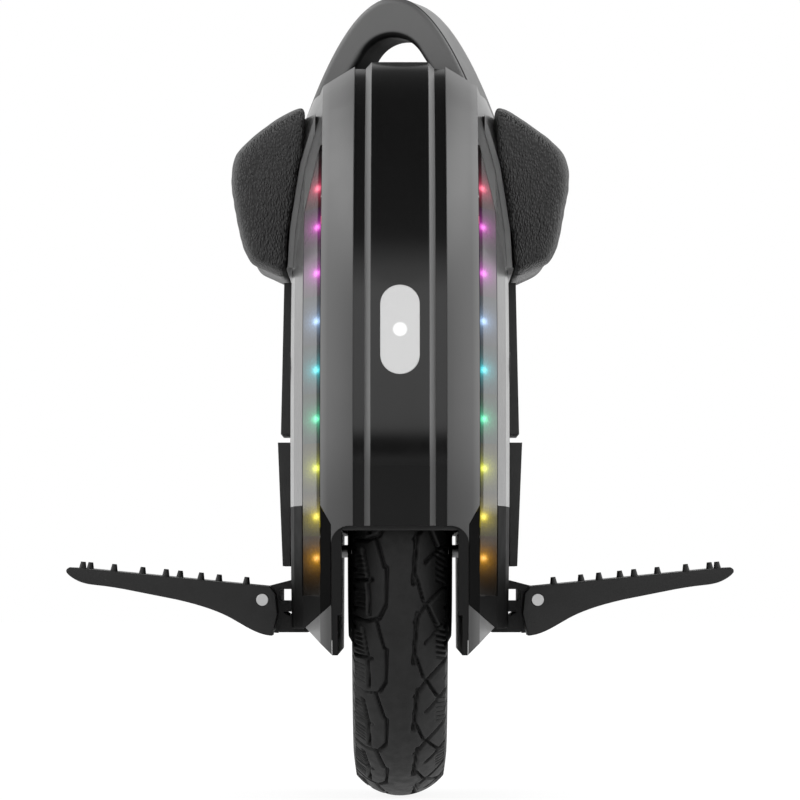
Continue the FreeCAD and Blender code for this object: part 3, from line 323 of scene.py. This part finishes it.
def window_material():
    """Smoked plastic over the lamps: grey, with a painted gap shadow along its inner edge and a glow at each
    lamp.
    """
    g = Graph("smoked_window")
    across, _, up = g.split(g.place())
    aside = g.math("ABSOLUTE", across)
    low, high = lamp_ends()
    off_up = 1.0
    for place in LAMP_PLACE_SHARES:
        to_lamp = g.math("ABSOLUTE", g.math("SUBTRACT", up, low + place * (high - low)))
        off_up = g.math("MINIMUM", to_lamp, off_up)
    off = g.square_sum(off_up, g.math("SUBTRACT", aside, GLOW_X))
    spots = [g.math("EXPONENT", g.math("DIVIDE", off, -radius ** 2)) for radius in GLOW_RADII]
    strength = 0.0
    for spot, level in zip(spots, GLOW_LEVELS):
        strength = g.math("ADD", g.math("MULTIPLY", spot, level), strength)
    specks = g.math("POWER", g.noise(700.0, 3.0), 3.0)
    strength = g.math("MULTIPLY", strength, g.span(specks, 0.0, 0.3, 0.7, 1.4))
    # Painted shadow of the gap along the window's inner edge.
    gap_shadow = g.step(aside, GAP_SHADOW_X + GAP_SHADOW_BLUR, GAP_SHADOW_X)
    foot = g.step(up, WINDOW_FOOT + WINDOW_FOOT_BLUR, WINDOW_FOOT - WINDOW_FOOT_BLUR)
    dark = g.math("MAXIMUM", gap_shadow, foot)
    tint = g.mix(dark, opaque(0.12), opaque(0.004))
    core = g.mix(g.math("MULTIPLY", spots[0], 0.12), lamp_colour(g, up), opaque(1.0))
    smoked = g.node("ShaderNodeBsdfPrincipled", Base_Color=tint, Roughness=g.mottled(120.0, 5.0, 0.16, 0.24),
                    Emission_Color=core, Emission_Strength=strength, Normal=g.soft_edges(WINDOW_EDGE),
                    Specular_IOR_Level=g.span(dark, 0.0, 1.0, SHINE, 0.1))
    clear = g.node("ShaderNodeBsdfTransparent", Color=opaque(0.7))
    return g.mix_surface(0.88, clear, smoked)


SPOT_RADIUS = 4.0 * MM
SPOT_BLUR = 1.5 * MM
PRISM_SCALE = 420.0
PRISM_HEIGHT = 0.4 * MM
LENS_EDGE = 1.0 * MM


def prism_normal(g, strength):
    """The fine cells of a moulded lens."""
    prism = g.node("ShaderNodeTexVoronoi", Scale=PRISM_SCALE, Vector=g.object_place())
    return g.bump(prism.outputs["Distance"], strength, PRISM_HEIGHT, g.soft_edges(LENS_EDGE))


def tail_light_material():
    g = Graph("tail_lens")
    red = (0.35, 0.01, 0.01, 1.0)
    return g.surface(Base_Color=red, Roughness=0.28, Normal=prism_normal(g, 0.12), Emission_Color=red,
                     Emission_Strength=0.05, Subsurface_Weight=0.2, Coat_Weight=0.3)


def headlight_material():
    """The front lens: milky white, with the emitter's bright spot showing at its middle."""
    g = Graph("headlight_lens")
    low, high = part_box("headlight_lens")
    across, _, up = g.split(g.place())
    rise = g.math("SUBTRACT", up, (low.z + high.z) / 2)
    spot = g.step(g.math("SQRT", g.square_sum(across, rise)), SPOT_RADIUS + SPOT_BLUR, SPOT_RADIUS)
    return g.surface(Base_Color=opaque(0.45), Roughness=0.3, Normal=prism_normal(g, 0.08),
                     Emission_Color=opaque(1.0), Emission_Strength=g.span(spot, 0.0, 1.0, 0.1, 0.5))


def emitter_material(name, colour, glow):
    g = Graph(name)
    colour = (*colour, 1.0)
    return g.surface(Base_Color=colour, Emission_Color=colour, Emission_Strength=glow, Roughness=0.3)


PEBBLE_SCALE = 800.0
PEBBLE_STRETCH = (1.0, 0.7, 0.52)
PEBBLE_HEIGHT = 1.0 * MM
PEBBLE_DRIFT = 4.0 * MM
WRINKLE_HEIGHT = 3.0 * MM


def leather_material():
    """Black leather: pebbles drawn out along the pad, with a painted highlight on their tops, with pores and
    soft wrinkles.
    """
    g = Graph("black_leather")
    place = g.node("ShaderNodeMapping", Scale=PEBBLE_STRETCH, Vector=g.object_place()).outputs[0]
    wander = g.node("ShaderNodeTexNoise", Scale=90.0, Detail=3.0, Vector=place).outputs["Color"]
    drift = g.node("ShaderNodeVectorMath", {"operation": "SCALE"}, Scale=PEBBLE_DRIFT)
    g.put(drift.inputs[0], wander)
    warp = g.node("ShaderNodeVectorMath", {"operation": "ADD"})
    g.put(warp.inputs[0], place)
    g.put(warp.inputs[1], drift.outputs[0])
    cells = g.node("ShaderNodeTexVoronoi", {"feature": "SMOOTH_F1"}, Scale=PEBBLE_SCALE, Smoothness=0.4,
                   Vector=warp.outputs[0]).outputs["Distance"]
    pores = g.math("MULTIPLY", g.noise(2600.0, 2.0), 0.15)
    height = g.math("ADD", g.math("MULTIPLY", cells, -1.0), pores)
    wrinkles = g.bump(g.noise(55.0, 3.0, 0.6, place), 0.2, WRINKLE_HEIGHT)
    normal = g.bump(height, 1.0, PEBBLE_HEIGHT, wrinkles)
    # Painted highlight: the pebble tops are painted paler than the hollows between them.
    base = g.ramp(cells, [(0.08, grey(0.022)), (0.5, grey(0.0015))])
    rough = g.mottled(35.0, 4.0, 0.36, 0.46)
    return g.surface(Base_Color=base, Roughness=rough, Normal=normal, Specular_IOR_Level=0.45)


RUBBER_GRAIN = 0.4 * MM


def tyre_material():
    """Tyre rubber: dull black and finely mottled."""
    g = Graph("tyre_rubber")
    base = g.ramp(g.noise(55.0, 6.0, 0.65), [(0.3, grey(0.003)), (0.7, grey(0.006))])
    rough = g.mottled(140.0, 5.0, 0.5, 0.66)
    normal = g.bump(g.noise(1500.0, 3.0), 0.2, RUBBER_GRAIN)
    return g.surface(Base_Color=base, Roughness=rough, Normal=normal, Specular_IOR_Level=0.28)


LEATHER = leather_material()
TYRE = tyre_material()
SATIN = shell_material()
COVER = cover_material()
HANDLE = handle_material()
BACKING = moulded("backing_grey", grey(0.16), 0.35, 0.1)
GLOSS = moulded("gloss_black", grey(0.006), 0.12, spread=0.3, Coat_Weight=0.6, Coat_Roughness=0.05)
BOOT = moulded("boot_black", grey(0.005), 0.45, spread=0.3, Specular_IOR_Level=0.015)
MATTE = moulded("matte_black", grey(0.008), 0.55, 0.35, 900.0)
CAST = moulded("cast_black", grey(0.005), 0.5, 0.4, 700.0, 0.9 * MM, Specular_IOR_Level=0.35)
LEG = moulded("chassis_black", grey(0.006), 0.5, 0.15, Specular_IOR_Level=0.12)
STEEL = moulded("brushed_steel", grey(0.55), 0.3, 0.1, 600.0, 0.4 * MM, Metallic=1.0)
MOTOR = moulded("motor_grey", grey(0.06), 0.42, 0.25, 800.0, Metallic=0.8)
RUBBER = moulded("tube_rubber", grey(0.02), 0.6, 0.2)
COPPER = moulded("copper_wire", (0.55, 0.22, 0.1), 0.35, 0.3, 300.0, Metallic=1.0)
BRASS = moulded("valve_brass", (0.6, 0.45, 0.2), 0.3, Metallic=1.0)
BOARD = moulded("circuit_board", (0.01, 0.05, 0.03), 0.4, 0.2)
WRAP = moulded("battery_wrap", (0.02, 0.06, 0.2), 0.35)
CAN = moulded("capacitor_can", (0.05, 0.05, 0.09), 0.3, Metallic=0.6)
BUTTON = moulded("button_grey", grey(0.12), 0.4, 0.2)
CORE = moulded("core_steel", grey(0.2), 0.45, 0.2, Metallic=0.9)

FINISH = {
    SATIN: ["front_shell", "rear_shell"],
    HANDLE: ["handle"],
    COVER: ["left_side_cover", "right_side_cover"],
    GLOSS: ["button_bezel"],
    BOOT: ["left_boot", "right_boot"],
    MATTE: ["top_deck", "side_strips", "pedal_bumpers", "wheel_fender", "charge_socket", "charge_cap",
            "side_plugs", "lamp_housings"],
    BACKING: ["pad_backings"],
    CAST: ["left_pedal", "right_pedal", "pedal_hangers", "handle_brackets", "left_pedal_studs",
           "right_pedal_studs"],
    LEG: ["left_chassis_plate", "right_chassis_plate"],
    STEEL: ["axle", "axle_nuts", "hanger_bolts", "handle_bolts", "pedal_pins", "charge_cap_pin",
            "wheel_bearings", "cover_screws"],
    MOTOR: ["wheel_rim", "motor_covers", "heat_sink", "stator_carrier"],
    CORE: ["stator_core", "rotor_magnets"],
    COPPER: ["stator_windings"],
    RUBBER: ["inner_tube", "tyre", "left_knee_pad", "right_knee_pad"],
    BRASS: ["valve_stem"],
    BOARD: ["light_boards", "controller_board"],
    WRAP: ["battery_packs"],
    CAN: ["capacitors"],
    BUTTON: ["power_button"],
    panel_material(): ["front_panel", "rear_panel"],
    strip_lamp_material(): ["front_light_lamps", "rear_light_lamps"],
    window_material(): ["front_light_windows", "rear_light_windows"],
    headlight_material(): ["headlight_lens"],
    tail_light_material(): ["tail_light_lens"],
    emitter_material("headlight_emitter", grey(1.0), 4.0): ["headlight_emitter"],
    emitter_material("tail_emitter", (1.0, 0.05, 0.05), 2.0): ["tail_light_emitter"],
}
for finish, names in FINISH.items():
    for name in names:
        nodes[name].data.materials.clear()
        nodes[name].data.materials.append(finish)


# Modelled pieces
def copy_node(node, name, finish):
    made = nodes[node].copy()
    made.data = nodes[node].data.copy()
    made.name = made.data.name = name
    bpy.context.scene.collection.objects.link(made)
    made.data.materials.clear()
    made.data.materials.append(finish)
    return made


def apply_modifier(piece, kind, **settings):
    modifier = piece.modifiers.new(kind.lower(), kind)
    for key, value in settings.items():
        setattr(modifier, key, value)
    bpy.context.view_layer.objects.active = piece
    with bpy.context.temp_override(object=piece, active_object=piece, selected_objects=[piece]):
        bpy.ops.object.modifier_apply(modifier=modifier.name)


def stand_for(piece, node, body):
    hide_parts(node)
    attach(piece, body)


# Tyre, in millimetres: the outline follows the solid, and the tread is cut into it.
TYRE_R = 178.0
TREAD_EDGE = 31.5
TREAD_DROP = 15.0
CROWN_STEPS = 38
WALL_X = 34.0
WALL_RUN = 26.0
WALL_DROP = 27.0
WALL_TURN = 2.0
WALL_STEPS = 14
WALL_SWELL_SHARE = 0.52
BEAD_SHARE = 0.55
BEAD_TUCK = 20.0
TYRE_SKIN = 6.5
INNER_WIDTH_SHARE = 0.9
INNER_EVERY = 6
TREAD_PHASE = 2.4
PITCHES = 19
PITCH_STEPS = 64
GROOVE_EDGE = 0.9
MAIN_DEEP = 4.0
SIPE_DEEP = 1.8

# A groove is a width, a depth and points given as a share of the pitch and a place across the tread.
GROOVES = [
    (2.1, MAIN_DEEP, [(0.0, -16.5), (0.33, -11.1), (0.34, -9.4), (0.79, -9.9), (0.957, -14.6), (1.01, -23.4),
                      (1.0, -33.0)]),
    (1.8, MAIN_DEEP, [(0.13, -25.9), (0.45, -22.4), (0.915, -21.5)]),
    (2.2, MAIN_DEEP, [(0.52, -33.0), (0.49, -19.6)]),
    (2.5, MAIN_DEEP, [(-0.106, 12.25), (0.53, 9.4)]),
    (2.2, MAIN_DEEP, [(0.59, 32.0), (0.79, 18.5), (1.0, 10.4)]),
    (1.6, MAIN_DEEP, [(0.45, 11.6), (0.745, 16.4)]),
    (1.6, MAIN_DEEP, [(0.81, 19.1), (1.085, 26.0)]),
    (1.9, MAIN_DEEP, [(1.06, 31.5), (1.28, 17.9)]),
]
for along in (0.2, 0.26, 0.32, 0.38, 0.44, 0.62, 0.68, 0.74, 0.8, 0.86):
    GROOVES.append((1.0, SIPE_DEEP, [(along, -30.5), (along, -24.8)]))
for i in range(6):
    GROOVES.append((1.0, SIPE_DEEP, [(0.13 + 0.075 * i, 25.6), (0.2 + 0.075 * i, 31.5)]))
for i in range(4):
    for side in (-1, 1):
        GROOVES.append((2.4, SIPE_DEEP, [(0.125 + 0.25 * i, side * 31.8), (0.125 + 0.25 * i, side * 38.0)]))


def tyre_outline():
    """The outer section from side to side: place across the tread, width, radius and outward turn."""
    crown = (TREAD_EDGE ** 2 + TREAD_DROP ** 2) / (2 * TREAD_DROP)
    limit = math.asin(TREAD_EDGE / crown)
    half = []
    for i in range(CROWN_STEPS + 1):
        turn = limit * i / CROWN_STEPS
        across = crown * math.sin(turn)
        half.append((across, across, TYRE_R - crown * (1 - math.cos(turn)), turn))
    for i in range(1, WALL_STEPS + 1):
        share = i / WALL_STEPS
        swell = (WALL_X - TREAD_EDGE) * math.sin(share * math.pi * WALL_SWELL_SHARE)
        tuck = BEAD_TUCK * max(0.0, share - BEAD_SHARE) ** 2
        radius = TYRE_R - TREAD_DROP - WALL_DROP * share
        turn = limit + (WALL_TURN - limit) * share
        half.append((TREAD_EDGE + WALL_RUN * share, TREAD_EDGE + swell - tuck, radius, turn))
    return [(-a, -x, r, -t) for a, x, r, t in reversed(half[1:])] + half


def tread_depths(across):
    """How deep the tread lies below the outline, for one pitch round the wheel and each place across it."""
    pitch = 2 * math.pi * TYRE_R / PITCHES
    along = (np.arange(PITCH_STEPS) / PITCH_STEPS * pitch)[:, None]
    over = np.array(across)[None, :]
    deep = np.zeros((PITCH_STEPS, len(across)))
    for width, depth, line in GROOVES:
        for (a0, x0), (a1, x1) in zip(line, line[1:]):
            for turn in (-1, 0, 1):
                ya, yb = (a0 + turn) * pitch, (a1 + turn) * pitch
                span = (yb - ya) ** 2 + (x1 - x0) ** 2
                share = np.clip(((along - ya) * (yb - ya) + (over - x0) * (x1 - x0)) / span, 0, 1)
                gap = np.hypot(along - ya - share * (yb - ya), over - x0 - share * (x1 - x0))
                rise = np.clip((width / 2 + GROOVE_EDGE / 2 - gap) / GROOVE_EDGE, 0, 1)
                deep = np.maximum(deep, depth * rise * rise * (3 - 2 * rise))
    return deep


def add_tyre():
    outline = tyre_outline()
    deep = tread_depths([a for a, _, _, _ in outline])
    low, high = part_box("axle")
    height = (low.z + high.z) / 2
    inner = [(x * INNER_WIDTH_SHARE, r - TYRE_SKIN) for _, x, r, _ in outline[::INNER_EVERY]]
    inner[0] = (outline[0][1] + TYRE_SKIN / 2, outline[0][2])
    inner[-1] = (outline[-1][1] - TYRE_SKIN / 2, outline[-1][2])
    points, faces = [], []
    rounds = PITCHES * PITCH_STEPS
    row = len(outline) + len(inner)
    for i in range(rounds):
        turn = 2 * math.pi * i / rounds - math.radians(TREAD_PHASE)
        forward, down = math.cos(turn), math.sin(turn)
        cut = deep[i % PITCH_STEPS]
        section = [(x - d * math.sin(t), r - d * math.cos(t)) for d, (_, x, r, t) in zip(cut, outline)]
        for x, r in section + inner[::-1]:
            points.append((x * MM, -r * forward * MM, height - r * down * MM))
        after = (i + 1) % rounds * row
        for k in range(row):
            nxt = (k + 1) % row
            faces.append((i * row + k, i * row + nxt, after + nxt, after + k))
    mesh = bpy.data.meshes.new("tread_tyre")
    mesh.from_pydata(points, [], faces)
    mesh.materials.append(TYRE)
    mesh.polygons.foreach_set("use_smooth", [True] * len(mesh.polygons))
    made = bpy.data.objects.new("tread_tyre", mesh)
    bpy.context.scene.collection.objects.link(made)
    stand_for(made, "tyre", "wheel")


PAD_VOXEL = 2.2 * MM
PAD_SMOOTHING = 34
PAD_INSET = 0.7 * MM
SEAM_IN = 24 * MM
SEAM_W = 1.6 * MM
SEAM_DEEP = 2.2 * MM
PUFF_OFF = 7 * MM
PUFF_W = 5 * MM
PUFF_H = 0.9 * MM
PUCKER_REACH = 11 * MM
PUCKER_H = 0.8 * MM
PUCKER_SCALES = Vector((60, 30, 160))
SWELL_H = 0.7 * MM
SWELL_SCALE = 28


def add_pad(node):
    """A moulded pad in leather: the solid's form rounded over, with a puckered seam near each end."""
    made = copy_node(node, node.replace("knee", "leather"), LEATHER)
    apply_modifier(made, "REMESH", mode="VOXEL", voxel_size=PAD_VOXEL)
    apply_modifier(made, "SMOOTH", factor=0.5, iterations=PAD_SMOOTHING)
    mesh = made.data
    seam_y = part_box(node)[1].y - SEAM_IN
    normals = [v.normal.copy() for v in mesh.vertices]
    for vertex, normal in zip(mesh.vertices, normals):
        p = vertex.co
        off = abs(p.y) - seam_y
        groove = SEAM_DEEP * math.exp(-(off / SEAM_W) ** 2)
        puff = PUFF_H * math.exp(-((abs(off) - PUFF_OFF) / PUFF_W) ** 2)
        pucker = PUCKER_H * noise.noise(p * PUCKER_SCALES) * math.exp(-abs(off) / PUCKER_REACH)
        swell = SWELL_H * noise.noise(p * SWELL_SCALE)
        vertex.co = p + normal * (puff - groove + pucker + swell - PAD_INSET)
    mesh.polygons.foreach_set("use_smooth", [True] * len(mesh.polygons))
    stand_for(made, node, "chassis")


PEDAL_ROUND = 3.5 * MM
MERGE_GAP = 0.01 * MM
FLAT_ANGLE = 1.5
SHARP_ANGLE = 40
SMOOTH_ANGLE = 35


def add_pedal(node):
    """The pedal's own form with its sharp edges rounded over."""
    made = copy_node(node, f"rounded_{node}", CAST)
    shape = bmesh.new()
    shape.from_mesh(made.data)
    bmesh.ops.remove_doubles(shape, verts=shape.verts, dist=MERGE_GAP)
    bmesh.ops.dissolve_limit(shape, angle_limit=math.radians(FLAT_ANGLE), verts=shape.verts, edges=shape.edges)
    shape.to_mesh(made.data)
    shape.free()
    apply_modifier(made, "BEVEL", limit_method="ANGLE", angle_limit=math.radians(SHARP_ANGLE),
                   width=PEDAL_ROUND, segments=4, use_clamp_overlap=True)
    with bpy.context.temp_override(object=made, active_object=made, selected_objects=[made]):
        bpy.ops.object.shade_smooth_by_angle(angle=math.radians(SMOOTH_ANGLE))
    stand_for(made, node, node)


add_tyre()
for node in ("left_knee_pad", "right_knee_pad"):
    add_pad(node)
for node in ("left_pedal", "right_pedal"):
    add_pedal(node)


# Camera, floor and light
CAMERA_BACK = 3.0
CAMERA_HEIGHT = 0.157
FOCAL_PIXELS = 4110.0
IMAGE_PIXELS = 800.0
HORIZON_ROW = 580.0
SENSOR = 36.0


def add_camera():
    data = bpy.data.cameras.new("camera")
    data.sensor_width = SENSOR
    data.lens = FOCAL_PIXELS * SENSOR / IMAGE_PIXELS
    data.shift_y = (HORIZON_ROW - IMAGE_PIXELS / 2) / IMAGE_PIXELS
    camera = bpy.data.objects.new("camera", data)
    camera.location = (0, -CAMERA_BACK, CAMERA_HEIGHT)
    camera.rotation_euler = (math.pi / 2, 0, 0)
    bpy.context.scene.collection.objects.link(camera)
    bpy.context.scene.camera = camera


FLOOR_COLOUR = 0.85
FLOOR_HALF = 12.0
FLOOR_GLOW = 1.3
FLOOR_GLOW_SHARE = 0.8


def seen_plainly(g):
    """1 for rays from the camera, off gloss and through glass."""
    path = g.node("ShaderNodeLightPath").outputs
    mirrored = g.math("MAXIMUM", path["Is Camera Ray"], path["Is Glossy Ray"])
    return g.math("MAXIMUM", mirrored, path["Is Transmission Ray"])


def add_floor():
    """A plain pale floor that keeps the object's shadow."""
    corners = [(-1, -1), (1, -1), (1, 1), (-1, 1)]
    mesh = bpy.data.meshes.new("floor")
    mesh.from_pydata([(x * FLOOR_HALF, y * FLOOR_HALF, 0) for x, y in corners], [], [(0, 1, 2, 3)])
    floor = bpy.data.objects.new("floor", mesh)
    bpy.context.scene.collection.objects.link(floor)
    g = Graph("floor")
    plain = g.node("ShaderNodeBsdfDiffuse", Color=opaque(FLOOR_COLOUR))
    white = g.node("ShaderNodeEmission", Color=opaque(FLOOR_COLOUR), Strength=FLOOR_GLOW)
    mesh.materials.append(g.mix_surface(g.math("MULTIPLY", seen_plainly(g), FLOOR_GLOW_SHARE), plain, white))


# The room's brightness: in front, from below (0) to above (1), and to the sides, from ahead (0) to the side (1).
# The spans say where one part of the room fades into the next, as parts of a direction of length 1.
WORLD_PEAK = 12.0
FRONT_LEVELS = [(0.5, 0.05), (0.53, 0.06), (0.54, 1.2), (0.82, 1.3), (0.9, 0.15), (1.0, 0.06)]
SIDE_LEVELS = [(0.4, 1.6), (0.8, 1.5), (0.99, 3.0)]
HIGH_SIDE = 9.0
HIGH_SPAN = (0.45, 0.85)
HIGH_ASIDE_SPAN = (0.55, 0.85)
SIDE_SPAN = (0.34, 0.58)
BACK_SPAN = (0.1, 0.55)
BACK_TOP_SPAN = (0.6, 0.3)


def add_world():
    """A white room behind the object, bright walls at both sides, and a dimmer wall and dark roof in front."""
    world = bpy.data.worlds.new("studio")
    bpy.context.scene.world = world
    g = Graph("studio", world)
    across, along, up = g.split(g.node("ShaderNodeTexCoord").outputs["Generated"])
    aside = g.math("ABSOLUTE", across)
    front_stops = [(place, grey(level / WORLD_PEAK)) for place, level in FRONT_LEVELS]
    side_stops = [(place, grey(level / WORLD_PEAK)) for place, level in SIDE_LEVELS]
    front = g.ramp(g.span(up, -1.0, 1.0, 0.0, 1.0), front_stops)
    high = g.math("MULTIPLY", g.step(up, *HIGH_SPAN), g.step(aside, *HIGH_ASIDE_SPAN))
    sides = g.math("ADD", g.ramp(aside, side_stops), g.math("MULTIPLY", high, HIGH_SIDE / WORLD_PEAK))
    ahead = g.mix(g.step(aside, *SIDE_SPAN), front, sides)
    behind = g.math("MULTIPLY", g.step(along, *BACK_SPAN), g.step(up, *BACK_TOP_SPAN))
    room = g.mix(behind, ahead, opaque(1.0 / WORLD_PEAK))
    g.finish(g.node("ShaderNodeBackground", Color=room, Strength=WORLD_PEAK))


add_camera()
add_floor()
add_world()
bpy.context.scene.view_settings.view_transform = "Standard"
